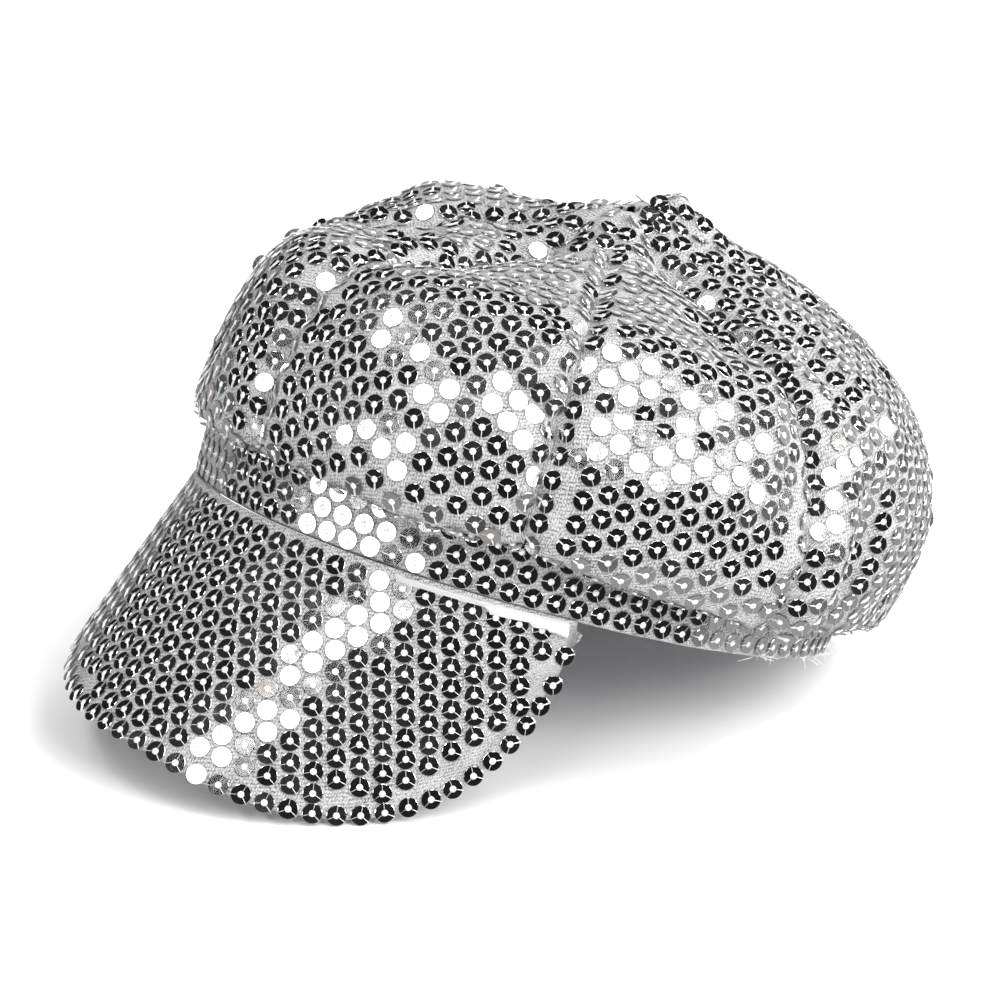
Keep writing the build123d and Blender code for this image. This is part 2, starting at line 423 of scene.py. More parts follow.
def sequin_outline():
    """One sequin: rings of points from its hole over its rim and back underneath, and its faces."""
    face = SEQUIN_THICKNESS / 2
    profile = (
        (SEQUIN_HOLE, -face),
        (SEQUIN_HOLE, face),
        (SEQUIN_RADIUS - SEQUIN_BEVEL, face),
        (SEQUIN_RADIUS, 0.0),
        (SEQUIN_RADIUS - SEQUIN_BEVEL, -face),
    )
    rings = [circle(radius, height, SEQUIN_SIDES) for radius, height in profile]
    index = np.arange(len(profile) * SEQUIN_SIDES).reshape(len(profile), SEQUIN_SIDES)
    nexts = np.roll(index, -1, 1)
    upper, nexts_upper = np.roll(index, -1, 0), np.roll(nexts, -1, 0)
    faces = np.stack([index, upper, nexts_upper, nexts], -1).reshape(-1, 4)
    return np.concatenate(rings), faces


def thread_lines():
    """Three stitches from the middle of a sequin over its rim and down into the cloth."""
    rim = SEQUIN_RADIUS
    path = ((0.3, 0.05), (0.75, 0.17), (0.55 * rim, 0.20), (rim - 0.05, 0.18), (rim + 0.25, -0.30))
    reach, height = np.array(path).T
    turn = np.radians([[90], [210], [330]])
    return np.stack(np.broadcast_arrays(reach * np.cos(turn), reach * np.sin(turn), height), -1)


def thread_knot():
    """The thread that fills a sequin's hole: a low six-sided dome with a closed bottom."""
    rings = [circle(KNOT_RADIUS, height, 6) for height in (0, KNOT_BOTTOM)]
    points = np.concatenate([*rings, [(0, 0, KNOT_TOP), (0, 0, KNOT_BOTTOM)]])
    top = [(12, corner, corner + 1, (corner + 2) % 6) for corner in (0, 2, 4)]
    bottom = [(13, (corner + 2) % 6 + 6, corner + 7, corner + 6) for corner in (0, 2, 4)]
    sides = [(corner, corner + 6, (corner + 1) % 6 + 6, (corner + 1) % 6) for corner in range(6)]
    return points, np.array(top + bottom + sides)


def sew_sequins(name, places, along, across, normal, thread_turn):
    """The sequins and their stitches on one panel, each turned and tilted a little differently."""
    count = len(places)
    tilt = rng.normal(0, TILT_SPREAD, (count, 2))
    facing = unit(normal + tilt[:, :1] * along + tilt[:, 1:] * across)
    turn = math.radians(thread_turn) + rng.normal(0, TURN_SPREAD, count)
    first = np.cos(turn)[:, None] * along + np.sin(turn)[:, None] * across
    first = unit(first - (first * facing).sum(-1, keepdims=True) * facing)
    axes = np.stack([first, np.cross(facing, first), facing], 1)
    centres = places + SEQUIN_STANDOFF * facing
    outline, faces = sequin_outline()
    points = np.einsum("pk,nkj->npj", outline, axes) + centres[:, None]
    all_faces = (faces[None] + (np.arange(count) * len(outline))[:, None, None]).reshape(-1, 4)
    chance = np.repeat(rng.uniform(0, 1, count), len(outline))
    flats = np.tile(outline, (count, 1)) + np.repeat(rng.uniform(0, 500, (count, 3)), len(outline), 0)
    discs = new_piece(
        name + "_sequins", points.reshape(-1, 3), all_faces, SEQUIN_FILM, flats, chance, shade_smooth=False
    )
    lines = np.einsum("tpk,nkj->ntpj", thread_lines(), axes) + centres[:, None, None]
    lines = lines.reshape(-1, lines.shape[2], 3)
    # The first of each sequin's three stitches is the thick bright one; the two loose ones are painted grey,
    # as painted shade
    main = np.arange(len(lines)) % 3 == 0
    widths = np.where(main, THREAD_HALF_WIDTH, LOOSE_THREAD_HALF_WIDTH)[:, None, None]
    brightness = np.where(main, 1.0, rng.uniform(0.0, 0.25, len(lines)))
    tubes, tube_faces = swept_tubes(lines, widths, THREAD_HALF_HEIGHT)
    brightness = np.repeat(brightness, len(tubes) // len(lines))
    knot, knot_faces = thread_knot()
    knots = (np.einsum("pk,nkj->npj", knot, axes) + centres[:, None]).reshape(-1, 3)
    knot_starts = len(tubes) + np.arange(count) * len(knot)
    knot_faces = (knot_faces + knot_starts[:, None, None]).reshape(-1, 4)
    points = np.concatenate([tubes, knots])
    brightness = np.concatenate([brightness, np.ones(len(knots))])
    faces = np.concatenate([tube_faces, knot_faces])
    stitches = new_piece(name + "_stitches", points, faces, SEWING_THREAD, chance=brightness)
    return [discs, stitches]


# ---- materials
class Nodes:
    """Short ways to add nodes to a material or a world and join them."""

    def __init__(self, owner):
        owner.use_nodes = True
        self.owner = owner
        self.tree = owner.node_tree
        self.shader = self.tree.nodes.get("Principled BSDF")

    def add(self, kind, **settings):
        node = self.tree.nodes.new(kind)
        for key, value in settings.items():
            setattr(node, key, value)
        return node

    def join(self, source, target):
        self.tree.links.new(source, target)

    def flat(self):
        """Where a point is on its own piece of cloth, in millimetres."""
        return self.add("ShaderNodeAttribute", attribute_name="flat").outputs["Vector"]

    def place(self):
        """Where a point is on the whole object, in metres."""
        return self.add("ShaderNodeTexCoord").outputs["Object"]

    def scaled(self, vector, scale):
        node = self.add("ShaderNodeMapping")
        node.inputs["Scale"].default_value = scale
        self.join(vector, node.inputs["Vector"])
        return node.outputs["Vector"]

    def noise(self, vector, scale, detail=3.0):
        node = self.add("ShaderNodeTexNoise")
        node.inputs["Scale"].default_value = scale
        node.inputs["Detail"].default_value = detail
        self.join(vector, node.inputs["Vector"])
        return node.outputs["Fac"]

    def wave(self, vector, scale, direction, distortion):
        node = self.add("ShaderNodeTexWave", bands_direction=direction)
        node.inputs["Scale"].default_value = scale
        node.inputs["Distortion"].default_value = distortion
        node.inputs["Detail"].default_value = 1.0
        self.join(vector, node.inputs["Vector"])
        return node.outputs["Fac"]

    def math(self, operation, first, second):
        node = self.add("ShaderNodeMath", operation=operation)
        for value, socket in zip((first, second), node.inputs):
            if isinstance(value, (int, float)):
                socket.default_value = value
            else:
                self.join(value, socket)
        return node.outputs[0]

    def mixed(self, first, share, second):
        """A share of the first value and the rest of the second."""
        parts = self.math("MULTIPLY", first, share), self.math("MULTIPLY", second, 1 - share)
        return self.math("ADD", *parts)

    def spread(self, value, low, high):
        """Maps 0..1 to low..high."""
        node = self.add("ShaderNodeMapRange")
        node.inputs["To Min"].default_value = low
        node.inputs["To Max"].default_value = high
        self.join(value, node.inputs["Value"])
        return node.outputs["Result"]

    def ramp(self, value, *stops):
        """A colour ramp with stops of (position, (r, g, b))."""
        node = self.add("ShaderNodeValToRGB")
        elements = node.color_ramp.elements
        while len(elements) < len(stops):
            elements.new(0.5)
        for element, (position, colour) in zip(elements, stops):
            element.position = position
            element.color = (*colour, 1)
        self.join(value, node.inputs["Fac"])
        return node.outputs["Color"]

    def bump(self, height, strength, distance):
        node = self.add("ShaderNodeBump")
        node.inputs["Strength"].default_value = strength
        node.inputs["Distance"].default_value = distance
        self.join(height, node.inputs["Height"])
        self.join(node.outputs["Normal"], self.shader.inputs["Normal"])

    def set(self, **values):
        for key, value in values.items():
            socket = self.shader.inputs[key.replace("_", " ")]
            if isinstance(value, (int, float, tuple)):
                socket.default_value = value
            else:
                self.join(value, socket)


def new_material(name):
    """A new material's nodes."""
    return Nodes(bpy.data.materials.new(name))


def sequin_film():
    """Mirror-bright silver film, each sequin a touch different, with faint ripples from stamping."""
    nodes = new_material("sequin_film")
    chance = nodes.add("ShaderNodeAttribute", attribute_name="chance").outputs["Fac"]
    flat = nodes.flat()
    colour = nodes.ramp(
        chance, (0.0, (0.74, 0.74, 0.75)), (0.9, (0.84, 0.84, 0.85)), (0.97, (0.80, 0.74, 0.70))
    )
    mottle = nodes.noise(flat, 0.35, 0.0)
    haze = nodes.mixed(mottle, 0.4, chance)
    nodes.set(Base_Color=colour, Metallic=1.0, Roughness=nodes.spread(haze, 0.05, 0.18))
    nodes.bump(mottle, 0.12, 0.0001)
    return nodes.owner


def knit_cloth():
    """Fine silvery knit that carries the sequins."""
    nodes = new_material("knit_cloth")
    flat = nodes.flat()
    ribs = nodes.wave(nodes.scaled(flat, (1, 0.25, 1)), 0.42, "X", 2.2)
    loops = nodes.wave(nodes.scaled(flat, (0.4, 1, 1)), 0.55, "DIAGONAL", 2.6)
    weave = nodes.math("MULTIPLY", ribs, loops)
    speckle = nodes.noise(flat, 1.6, 4.0)
    knit = nodes.mixed(weave, 0.2, speckle)
    wear = nodes.noise(flat, 0.12, 4.0)
    tone = nodes.mixed(knit, 0.8, wear)
    colour = nodes.ramp(
        tone, (0.32, (0.07, 0.07, 0.08)), (0.42, (0.27, 0.27, 0.28)), (0.53, (0.52, 0.52, 0.52))
    )
    nodes.set(Base_Color=colour, Roughness=nodes.spread(weave, 0.55, 0.38))
    nodes.set(Sheen_Weight=0.15, Sheen_Roughness=0.4)
    nodes.bump(knit, 0.7, 0.0004)
    return nodes.owner


def sewing_thread():
    """White polyester thread with its twist; the looser stitches lie flatter and are painted greyer, as
    painted shade.
    """
    nodes = new_material("sewing_thread")
    twist = nodes.wave(nodes.place(), 1400.0, "DIAGONAL", 1.0)
    # The chance attribute carries painted light: full for thick stitches and knots, painted shade for the
    # loose stitches
    stitch_painted_light = nodes.add("ShaderNodeAttribute", attribute_name="chance").outputs["Fac"]
    tone = nodes.mixed(twist, 0.25, stitch_painted_light)
    nodes.set(Base_Color=nodes.ramp(tone, (0.0, (0.30, 0.30, 0.31)), (0.9, (0.95, 0.95, 0.95))))
    nodes.set(Roughness=nodes.spread(twist, 0.6, 0.35), Sheen_Weight=0.3)
    nodes.bump(twist, 0.4, 0.0001)
    return nodes.owner


def woven_cloth(name, dark, light, threads_per_mm, gloss):
    """Plain woven cloth: warp over weft, and long streaks of tone that are partly slubs and partly painted
    crease shade.
    """
    nodes = new_material(name)
    flat = nodes.flat()
    warp = nodes.wave(flat, threads_per_mm * 0.33, "X", 0.5)
    weft = nodes.wave(flat, threads_per_mm * 0.33, "Y", 0.5)
    weave = nodes.math("MAXIMUM", warp, weft)
    # Long streaks of tone: slubs in the thread, and painted crease shade
    slub_and_crease_shade = nodes.noise(nodes.scaled(flat, (0.08, 0.9, 1)), 1.0, 4.0)
    tone = nodes.mixed(weave, 0.5, slub_and_crease_shade)
    nodes.set(Base_Color=nodes.ramp(tone, (0.25, dark), (0.8, light)))
    nodes.set(Roughness=nodes.spread(weave, gloss + 0.2, gloss), Sheen_Weight=0.25)
    nodes.bump(weave, 0.5, 0.0002)
    return nodes.owner


def ribbed_tape():
    """Cotton twill tape with diagonal ribs."""
    nodes = new_material("ribbed_tape")
    flat = nodes.flat()
    ribs = nodes.wave(flat, 0.5, "DIAGONAL", 0.4)
    fuzz = nodes.noise(flat, 1.8, 4.0)
    tone = nodes.mixed(ribs, 0.6, fuzz)
    nodes.set(Base_Color=nodes.ramp(tone, (0.2, (0.42, 0.42, 0.44)), (0.8, (0.66, 0.66, 0.68))))
    nodes.set(Roughness=0.85, Sheen_Weight=0.4)
    nodes.bump(ribs, 0.6, 0.0003)
    return nodes.owner


def pressed_fibre(name, dark, light, scale, rough):
    """Felt or fibreboard: short matted fibres."""
    nodes = new_material(name)
    place = nodes.place()
    fibre = nodes.noise(nodes.scaled(place, (1, 1, 3)), scale, 6.0)
    nodes.set(Base_Color=nodes.ramp(fibre, (0.35, dark), (0.65, light)), Roughness=rough)
    nodes.bump(fibre, 0.5, 0.0003)
    return nodes.owner


def ribbed_elastic():
    """Woven elastic with cords along it."""
    nodes = new_material("ribbed_elastic")
    cords = nodes.wave(nodes.place(), 260.0, "Z", 0.3)
    nodes.set(Base_Color=nodes.ramp(cords, (0.2, (0.55, 0.55, 0.54)), (0.8, (0.82, 0.82, 0.80))))
    nodes.set(Roughness=0.8, Sheen_Weight=0.3)
    nodes.bump(cords, 0.8, 0.0004)
    return nodes.owner


SEQUIN_FILM = sequin_film()
KNIT = knit_cloth()
SEWING_THREAD = sewing_thread()
LINING_CLOTH = woven_cloth("lining_weave", (0.50, 0.50, 0.52), (0.70, 0.70, 0.72), 2.2, 0.35)
PATCH_CLOTH = woven_cloth("patch_weave", (0.60, 0.60, 0.60), (0.82, 0.82, 0.81), 1.6, 0.6)
VISOR_LINING_CLOTH = woven_cloth("visor_lining_weave", (0.52, 0.52, 0.54), (0.74, 0.74, 0.76), 2.0, 0.4)
TAPE = ribbed_tape()
FELT = pressed_fibre("stiffener_felt", (0.62, 0.62, 0.60), (0.85, 0.85, 0.82), 900.0, 0.95)
BOARD = pressed_fibre("visor_fibreboard", (0.40, 0.36, 0.31), (0.56, 0.51, 0.45), 600.0, 0.8)
ELASTIC = ribbed_elastic()


def ride_crown(*pieces):
    """Bakes each piece's placement into its mesh, where it stays; nothing makes it go down with the apex."""
    for piece in pieces:
        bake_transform(piece)


def ride_visor(*pieces):
    """Bakes each piece's placement into its mesh, where it stays; nothing makes it turn with the visor."""
    for piece in pieces:
        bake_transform(piece)


def ride_base(*pieces):
    """The band and what is inside it hold the wearer's head, so they move with the cap as a whole."""
    for piece in pieces:
        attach(piece, "cap_base")


# ---- crown gores
def evenly_spaced(azimuth, count):
    """Angles down a crown meridian, the same distance apart along the cloth."""
    angles = np.linspace(TOP_ANGLE, EDGE_ANGLE, 800)
    travelled = distances_along(crown_smooth(azimuth, angles))
    return np.interp(np.linspace(0, travelled[-1], count), travelled, angles)


def gore_grid(start, end, columns, rows):
    """A gore's outer face, with an edge turned inwards along each seam. Columns crowd towards the seams."""
    share = (1 - np.cos(np.linspace(0, math.pi, columns))) / 2
    azimuths = start + (end - start) * share
    angles = evenly_spaced((start + end) / 2, rows)
    azimuths, angles = np.meshgrid(azimuths, angles)
    grid = crown(azimuths, angles)
    turned = grid - 2.0 * crown_outward(azimuths, angles)
    left = turned[:, :1] + 0.35 * (grid[:, 1:2] - grid[:, :1])
    right = turned[:, -1:] + 0.35 * (grid[:, -2:-1] - grid[:, -1:])
    return np.concatenate([left, grid, right], 1)


def fill_gaps(surface, places, spares, room):
    """The places, and those spares that are more than room away from every place already taken."""
    taken, points = surface(*places), surface(*spares)
    distances = np.linalg.norm(points[:, None] - taken[None], axis=-1).min(1)
    chosen = []
    for index in np.flatnonzero(distances > room):
        if not chosen or np.linalg.norm(points[chosen] - points[index], axis=-1).min() > room:
            chosen.append(index)
    return np.concatenate([places, spares[:, chosen]], 1)


def gore_places(start, end):
    """Azimuths and angles of a gore's sequins: a column beside each seam and a honeycomb between them."""
    centre, half = (start + end) / 2, (end - start) / 2
    angles = np.linspace(TOP_ANGLE, LAST_SEQUIN_ANGLE, 900)
    line = crown_smooth(centre, angles)
    travelled = distances_along(line)
    half_widths = np.hypot(line[:, 0], line[:, 1]) * math.radians(half)

    def placed(across, distance):
        """Azimuth and angle of a place, across the gore from its middle line and down it."""
        share = across / np.interp(distance, travelled, half_widths)
        return np.array([centre + half * share, np.interp(distance, travelled, angles)])

    def reach(distance):
        """How far from the middle line a sequin may be."""
        return np.interp(distance, travelled, half_widths) - SEAM_MARGIN

    stops = np.arange(2 * PITCH, travelled[-1], PITCH)
    beside = reach(stops)
    places = np.concatenate([placed(-beside, stops), placed(beside, stops)], 1)
    columns = int(half_widths.max() // ROW_PITCH)
    column, step = np.meshgrid(np.arange(-columns, columns + 1), np.arange(travelled[-1] // PITCH))
    distance = (rng.uniform(0.5, 1.0) + step + column % 2 / 2) * PITCH
    across = column * ROW_PITCH + rng.normal(0, 0.12, column.shape)
    inside = (distance < travelled[-1]) & (abs(across) < reach(distance))
    places = fill_gaps(crown, places, placed(across[inside], distance[inside]), LATTICE_ROOM)
    # Places all over the gore, taken only where the honeycomb leaves a gap
    levels = evenly_spaced(centre, 120)[2:]
    levels = levels[levels > LAST_SEQUIN_ANGLE]
    spares = np.meshgrid(np.linspace(start + EDGE_MARGIN, end - EDGE_MARGIN, 60), levels)
    return fill_gaps(crown, places, np.reshape(spares, (2, -1)), CLOSEST)


# Which way the thick thread of each gore's sequins points, in degrees, as the cloth was cut
GORE_THREAD_TURNS = (200, 80, 110, 60, 150, 30, 95, 170)
for number, thread_turn in enumerate(GORE_THREAD_TURNS, 1):
    start, end = (number - 1) * GORE_ANGLE, number * GORE_ANGLE
    name = f"gore_{number}"
    grid = gore_grid(start, end, columns=40, rows=104)
    cloth = cloth_piece(name + "_cloth", grid, KNIT)
    azimuths, angles = gore_places(start, end)
    along, across, normal = directions(crown, azimuths, angles)
    sewn = sew_sequins(name, crown(azimuths, angles), along, across, normal, thread_turn)
    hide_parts(f"crown_gore_{number}")
    ride_crown(cloth, *sewn)


# ---- crown lining and apex patch
LINING_DROP = 12.0
LINING_PUFF = 2.5
LINING_TOP_ANGLE, LINING_LOW_ANGLE = 89.2, 2.0
GATHER = 0.9


def lining(azimuth, share):
    """The lining hangs inside the crown and is sewn to the sweatband's top edge, gathered a little."""
    azimuth, share = np.broadcast_arrays(np.asarray(azimuth, float), np.asarray(share, float))
    angle = LINING_TOP_ANGLE - (LINING_TOP_ANGLE - LINING_LOW_ANGLE) * np.minimum(share / 0.75, 1)
    puff = LINING_PUFF * np.sin(math.pi * (azimuth / LINING_ANGLE % 1)) ** 0.7 * smooth((86 - angle) / 40)
    upper = crown_smooth(azimuth, angle) + (puff - LINING_DROP)[..., None] * crown_outward(azimuth, angle)
    edge_radius = oval(azimuth, HEAD_HALF_WIDTH + 0.9, HEAD_HALF_LENGTH + 0.9)
    edge = around(azimuth, edge_radius, BAND_HEIGHT - 2.0)
    fall = smooth((share - 0.7) / 0.3)[..., None]
    turn = np.radians(azimuth)
    gather = GATHER * np.sin(turn * 46 + 2 * np.sin(turn * 5)) * plateau(share, 0.6, 0.85, 0.9, 1.0)
    return upper * (1 - fall) + edge * fall + gather[..., None] * around(azimuth, 1.0, 0.0)


for number in range(1, LINING_GORES + 1):
    azimuths = np.linspace((number - 1) * LINING_ANGLE, number * LINING_ANGLE, 90)
    grid = lining(*np.meshgrid(azimuths, np.linspace(0.0, 1.0, 56)))
    cloth = cloth_piece(f"lining_{number}_cloth", grid, LINING_CLOTH, thickness=0.3)
    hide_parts(f"lining_gore_{number}")
    ride_crown(cloth)


def apex_patch():
    """A round patch under the apex that holds the gathered gore points."""
    azimuths, radii = np.meshgrid(np.arange(0, 360, 7.5), np.linspace(1.0, PATCH_RADIUS, 8))
    angles = np.degrees(np.arccos((radii / waist_radius(azimuths)) ** (ROUNDNESS / 2)))
    grid = crown(azimuths, angles, 4.0)
    patch = cloth_piece("apex_patch_cloth", grid, PATCH_CLOTH, closed=True, thickness=0.5)
    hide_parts("apex_patch")
    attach(patch, "crown_top")


apex_patch()


# ---- band
BAND_ROWS = 3
FIRST_ROW_HEIGHT = 3.6
BAND_TURN = np.arange(0, 360, 1.5)


def band(azimuth, height, out=0.0):
    """The band's outer face, with a slight belly and a slight waviness all round."""
    belly = 0.5 * np.sin(math.pi * np.clip(np.asarray(height) / BAND_HEIGHT, 0, 1))
    turn = np.radians(azimuth)
    wander = 0.25 * np.sin(turn * 9 + 1.0) + 0.18 * np.sin(turn * 23)
    radius = oval(azimuth, HALF_WIDTH, HALF_LENGTH) + belly + wander + out
    return around(azimuth, radius, height)


def band_cover():
    """The sequin strip: hemmed under at the bottom and tucked inside the crown at the top."""
    heights = np.linspace(BAND_HEIGHT - 2, 1.2, 10)
    hem = ((0.25, -0.6), (0.05, -1.6), (0.3, -2.4))
    rows = [(BAND_HEIGHT, -0.3), *((height, -0.1) for height in heights), *hem]
    grid = np.array([band(BAND_TURN, height, out) for height, out in rows])
    cloth = cloth_piece("band_cover_cloth", grid, KNIT, closed=True, thickness=0.5)
    full_turn = np.arange(0, 360.5, 0.5)
    travelled = distances_along(band(full_turn, 10.0))
    count = int(travelled[-1] // PITCH)
    row, number = np.divmod(np.arange(BAND_ROWS * count), count)
    azimuths = np.interp((number + row % 2 / 2) * travelled[-1] / count, travelled, full_turn)
    heights = FIRST_ROW_HEIGHT + row * ROW_PITCH + rng.normal(0, 0.15, len(row))
    along, across, normal = directions(band, azimuths, heights)
    sewn = sew_sequins("band", band(azimuths, heights), along, across, normal, 95)
    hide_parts("band_cover")
    ride_base(cloth, *sewn)


band_cover()


def sweatband():
    """Twill tape inside the band, sewn along its top and bottom edges."""
    edge = oval(BAND_TURN, HEAD_HALF_WIDTH, HEAD_HALF_LENGTH) - 0.15
    rows = []
    for height in np.linspace(0.6, BAND_HEIGHT, 9):
        slack = 0.35 * np.sin(np.radians(BAND_TURN) * 17) * math.sin(math.pi * height / BAND_HEIGHT)
        rows.append(around(BAND_TURN, edge + slack, height))
    grid = np.array(rows)
    tape = cloth_piece("sweatband_tape", grid, TAPE, closed=True, thickness=0.6)
    stitch_turn = np.array([0, 0.25, 0.7, 1.2, 1.45])
    stitch_lift = np.array([0.3, -0.55, -0.75, -0.55, 0.3])
    lines = []
    for height in (2.6, BAND_HEIGHT - 2.4):
        for start in np.arange(0, 360, 2.2):
            turn = start + stitch_turn
            lines.append(around(turn, oval(turn, HEAD_HALF_WIDTH, HEAD_HALF_LENGTH) + stitch_lift, height))
    points, faces = swept_tubes(np.array(lines), 0.16, 0.16)
    stitches = new_piece("sweatband_stitches", points, faces, SEWING_THREAD, chance=np.ones(len(points)))
    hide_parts("sweatband")
    ride_base(tape, stitches)


sweatband()

# CAD nodes inside the band keep their shape
for node, material in (("band_stiffener", FELT), ("back_elastic", ELASTIC)):
    materials = frame["nodes"][node].data.materials
    materials.clear()
    materials.append(material)


# ---- visor
def visor_facing(x, share):
    """The direction along the visor's width, the one towards its rim, and the one it faces."""
    along, across, normal = directions(visor, x, share, 0.4, 0.01)
    flip = np.sign(normal[..., 2:])
    return along * flip, across, normal * flip


def visor_grid(shares, depths, reach=VISOR_HALF_WIDTH - 0.01):
    """Rows of points at given shares, each row sunk by its depth below the visor's face."""
    x = reach * np.sin(np.linspace(-math.pi / 2, math.pi / 2, 121))
    x, share = np.meshgrid(x, shares)
    return visor(x, share) - np.array(depths)[:, None, None] * visor_facing(x, share)[2]


def along_line(points, values, spacing, offset=0.0):
    """Values at even spacing along a line of points, counted from its middle."""
    travelled = distances_along(points)
    travelled = travelled - np.interp(0, values, travelled)
    reach = int(travelled[-1] // spacing) + 1
    stops = np.arange(-reach, reach + 1) * spacing + offset
    stops = stops[(stops > travelled[0]) & (stops < travelled[-1])]
    return np.interp(stops, travelled, values)


def visor_places():
    """Where the visor's sequins go: one row along its rim, and rows inside it that follow its seam."""
    x = np.linspace(-VISOR_HALF_WIDTH + 0.5, VISOR_HALF_WIDTH - 0.5, 1600)
    length = np.linalg.norm(visor(x, 1.0) - visor(x, 0.0), axis=-1)
    rim_x = along_line(visor(x, 1.0), x, PITCH)
    rim_share = 1 - RIM_INSET / np.interp(rim_x, x, length)
    places = [place for place in zip(rim_x, rim_share) if place[1] > 0.2]
    rim = visor(*np.array(places).T)
    for row, distance in enumerate(np.linspace(4.2, VISOR_LENGTH - RIM_INSET - 0.8 * PITCH, 12)):
        line = visor(x, np.minimum(distance / length, 1.05))
        for where in along_line(line, x, PITCH, PITCH / 2 * (row % 2)):
            share = distance / np.interp(where, x, length)
            gap = np.linalg.norm(rim - visor(where, share), axis=-1).min()
            if share < 1 and gap > LATTICE_ROOM:
                places.append((where, share))
    spares = np.meshgrid(np.linspace(-0.97, 0.97, 140) * VISOR_HALF_WIDTH, np.linspace(0.06, 0.96, 60))
    return fill_gaps(visor, np.array(places).T, np.reshape(spares, (2, -1)), CLOSEST)


def build_visor():
    """Sequin cover rolled round the board's edge, the board, and the lining under it."""
    rows = 40
    down = list(np.linspace(0.0, 1.0, rows))
    cover_grid = visor_grid(down + [1.012, 1.012, 1.0], [0.0] * rows + [0.5, 1.7, 2.5])
    cover = cloth_piece("visor_cover_cloth", cover_grid, KNIT, thickness=0.5)
    x, share = visor_places()
    sewn = sew_sequins("visor", visor(x, share), *visor_facing(x, share), 55)
    down = np.linspace(0.02, 0.985, 30)
    board_grid = visor_grid(down, [BOARD_DEPTH] * len(down), reach=VISOR_HALF_WIDTH - 3)
    board = cloth_piece("visor_board_sheet", board_grid, BOARD, thickness=1.2)
    down = np.linspace(0.0, 0.99, rows)
    under_grid = visor_grid(down, [VISOR_LINING_DEPTH] * rows, reach=VISOR_HALF_WIDTH - 1.2)
    under = cloth_piece("visor_lining_cloth", under_grid, VISOR_LINING_CLOTH, thickness=0.4)
    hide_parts("visor_cover")
    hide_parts("visor_board")
    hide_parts("visor_lining")
    ride_visor(cover, *sewn, board, under)


build_visor()


# ---- frayed ends
def frayed_ends(name, roots, outward, spread, ride):
    """Short loose threads that stick out of a cut edge."""
    count = len(roots)
    lean = unit(outward + rng.normal(0, spread, (count, 3)))
    curl = rng.normal(0, 0.7, (count, 3))
    length = rng.uniform(0.8, 3.0, count)[:, None]
    share = np.linspace(0, 1, 6)[:, None, None]
    paths = roots + share * length * lean + share**2 * length * curl
    points, faces = swept_tubes(paths.transpose(1, 0, 2), 0.09, 0.09)
    ride(new_piece(name, points, faces, SEWING_THREAD, chance=np.ones(len(points))))


back_turns = rng.uniform(95, 150, 46)
frayed_ends("back_frays", band(back_turns, 0.8), around(back_turns, 1.0, -0.15), 0.35, ride_base)
left_turns = rng.uniform(-62, -44, 26)
frayed_ends("left_frays", band(left_turns, 1.0), around(left_turns, 1.0, 0.1), 0.4, ride_base)
rim_x = rng.uniform(-VISOR_HALF_WIDTH + 1, -VISOR_HALF_WIDTH + 14, 40)
rim_out = unit(visor(rim_x, 1.03) - visor(rim_x, 1.0))
frayed_ends("visor_frays", visor(rim_x, 1.0), rim_out, 0.4, ride_visor)


# ---- floor, light and camera
# White softboxes show as white sequins. The dim ones turn the sequins that face them grey
SOFTBOX_BRIGHTNESS = 7.5
RIM_BRIGHTNESS = 0.5
SOFTBOX_DISTANCE = 3.0
DARK_STUDIO, PALE_STUDIO = 0.016, 0.38
STUDIO_SIZE = 8.0


def stage_piece(name, points, faces, material):
    """A part of the studio, which mirrors do not show."""
    mesh = bpy.data.meshes.new(name)
    mesh.from_pydata(points, [], faces)
    mesh.materials.append(material)
    piece = bpy.data.objects.new(name, mesh)
    bpy.context.scene.collection.objects.link(piece)
    piece.visible_glossy = False
    piece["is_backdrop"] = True
    return piece


def studio_floor():
    """A pale floor that fills the view. Seen from beneath it is clear, so that it does not hide the cap."""
    nodes = new_material("studio_floor")
    grain = nodes.noise(nodes.place(), 30.0)
    pale = nodes.ramp(grain, (0.3, (0.95, 0.95, 0.95)), (0.7, (0.97, 0.97, 0.97)))
    nodes.set(Base_Color=pale, Roughness=0.9)
    beneath = nodes.add("ShaderNodeNewGeometry").outputs["Backfacing"]
    clear = nodes.add("ShaderNodeBsdfTransparent").outputs["BSDF"]
    mixed = nodes.add("ShaderNodeMixShader")
    for source, target in zip((beneath, nodes.shader.outputs["BSDF"], clear), mixed.inputs):
        nodes.join(source, target)
    nodes.join(mixed.outputs["Shader"], nodes.tree.nodes["Material Output"].inputs["Surface"])
    size, height = STUDIO_SIZE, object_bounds()[0][2] - 0.0002
    corners = [(-size, -size, height), (size, -size, height), (size, size, height), (-size, size, height)]
    stage_piece("studio_floor", corners, [(0, 1, 2, 3)], nodes.owner)


def studio_backdrop():
    """A white cloth all round the studio, which only the camera sees: it neither lights nor mirrors."""
    nodes = new_material("studio_backdrop")
    # Faint vertical streaks in the backdrop's white are painted fold shade
    painted_fold_shade = nodes.noise(nodes.scaled(nodes.place(), (1, 1, 0.1)), 0.5)
    white = nodes.ramp(painted_fold_shade, (0.3, (0.97, 0.97, 0.97)), (0.7, (1.0, 1.0, 1.0)))
    nodes.set(Base_Color=(0.0, 0.0, 0.0, 1.0), Emission_Color=white, Emission_Strength=1.0)
    turn = np.arange(0, 360, 10)
    rings = [around(turn, STUDIO_SIZE, height) for height in (-STUDIO_SIZE, STUDIO_SIZE)]
    index = np.arange(len(turn))
    after = np.roll(index, -1)
    faces = np.stack([index, after, after + len(turn), index + len(turn)], -1)
    points = np.concatenate(rings).tolist()
    backdrop = stage_piece("studio_backdrop", points, faces.tolist(), nodes.owner)
    backdrop.visible_diffuse = False
    backdrop.visible_shadow = False
    backdrop.visible_transmission = False


def toward(azimuth, elevation):
    """Unit vector from the cap towards a direction, azimuth 0 being the front and 90 the wearer's left."""
    turn, rise = math.radians(azimuth), math.radians(elevation)
    return Vector((math.sin(turn) * math.cos(rise), -math.cos(turn) * math.cos(rise), math.sin(rise)))


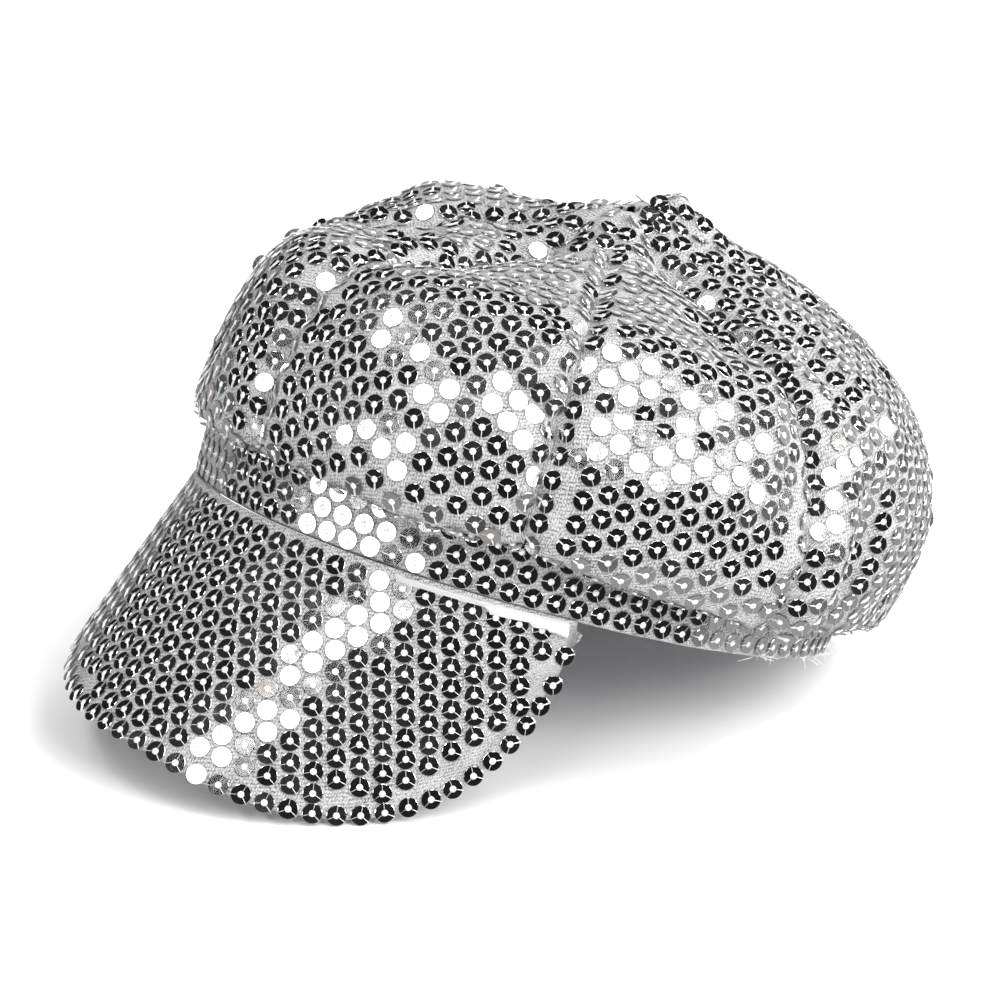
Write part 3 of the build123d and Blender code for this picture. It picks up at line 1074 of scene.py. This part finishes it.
def softbox(name, azimuth, elevation, width, height, brightness=SOFTBOX_BRIGHTNESS, mirrored=True):
    """A rectangular light that faces the cap, and shows in its sequins if it is mirrored."""
    light = bpy.data.lights.new(name, "AREA")
    light.shape = "RECTANGLE"
    light.size, light.size_y = width, height
    light.energy = brightness * width * height * math.pi
    holder = bpy.data.objects.new(name, light)
    direction = toward(azimuth, elevation)
    holder.location = direction * SOFTBOX_DISTANCE
    holder.rotation_euler = direction.to_track_quat("Z", "Y").to_euler()
    holder.visible_glossy = mirrored
    bpy.context.scene.collection.objects.link(holder)


def studio_world():
    """A dark studio, paler low down and behind the cap, where its floor catches the light."""
    world = bpy.data.worlds.new("studio_world")
    bpy.context.scene.world = world
    nodes = Nodes(world)
    direction = nodes.add("ShaderNodeTexCoord").outputs["Generated"]

    def share_toward(aim, start, end):
        """How far a direction of view is turned towards an aim, eased from 0 at start to 1 at end."""
        dot = nodes.add("ShaderNodeVectorMath", operation="DOT_PRODUCT")
        dot.inputs[1].default_value = aim
        ease = nodes.add("ShaderNodeMapRange", interpolation_type="SMOOTHSTEP")
        ease.inputs["From Min"].default_value = start
        ease.inputs["From Max"].default_value = end
        nodes.join(direction, dot.inputs[0])
        nodes.join(dot.outputs["Value"], ease.inputs["Value"])
        return ease.outputs["Result"]

    low = share_toward((0, 0, -1), -0.12, 0.12)
    behind = share_toward(toward(-150, -25), 0.0, 0.35)
    beneath = share_toward((0, 0, -1), 0.45, 0.75)
    pale = nodes.math("MAXIMUM", nodes.math("MULTIPLY", low, behind), beneath)
    shade = nodes.spread(pale, DARK_STUDIO, PALE_STUDIO)
    nodes.join(shade, nodes.tree.nodes["Background"].inputs["Color"])


def camera():
    """A long lens at the wearer's front left, a little above and rolled; its angles are the cap's own."""
    azimuth, elevation, roll, distance = 44.81, 7.84, 17.21, 1032.0 * MM
    data = bpy.data.cameras.new("camera")
    data.lens = 126.36
    data.shift_x, data.shift_y = -0.0168, 0.0574
    data.clip_end = 50
    holder = bpy.data.objects.new("camera", data)
    to_cap = Matrix(CAP_AXES).transposed()
    direction = toward(azimuth, elevation)
    facing = direction.to_track_quat("Z", "Y").to_matrix() @ Matrix.Rotation(math.radians(roll), 3, "Z")
    place = Matrix.Translation(to_cap @ direction * distance)
    holder.matrix_world = place @ (to_cap @ facing).to_4x4()
    bpy.context.scene.collection.objects.link(holder)
    bpy.context.scene.camera = holder


bpy.context.scene.view_settings.view_transform = "Standard"
studio_floor()
studio_backdrop()
studio_world()
softbox("behind_right", -144, 19, 2.4, 1.6, RIM_BRIGHTNESS)
softbox("behind_left", 160, 20, 1.3, 1.3, RIM_BRIGHTNESS)
softbox("far_left", 133, 15, 1.8, 1.1)
softbox("side_left", 90, 36, 1.9, 1.5)
softbox("front_high", 31, 41, 0.8, 1.0)
softbox("front_low", 2, 8, 2.0, 0.7)
softbox("high_right", -34, 63, 1.1, 0.9)
softbox("high_left", 112, 62, 1.0, 0.9)
softbox("behind", 180, 30, 3.2, 1.6, mirrored=False)
softbox("overhead", 30, 80, 2.4, 2.4, SOFTBOX_BRIGHTNESS / 6, mirrored=False)
camera()
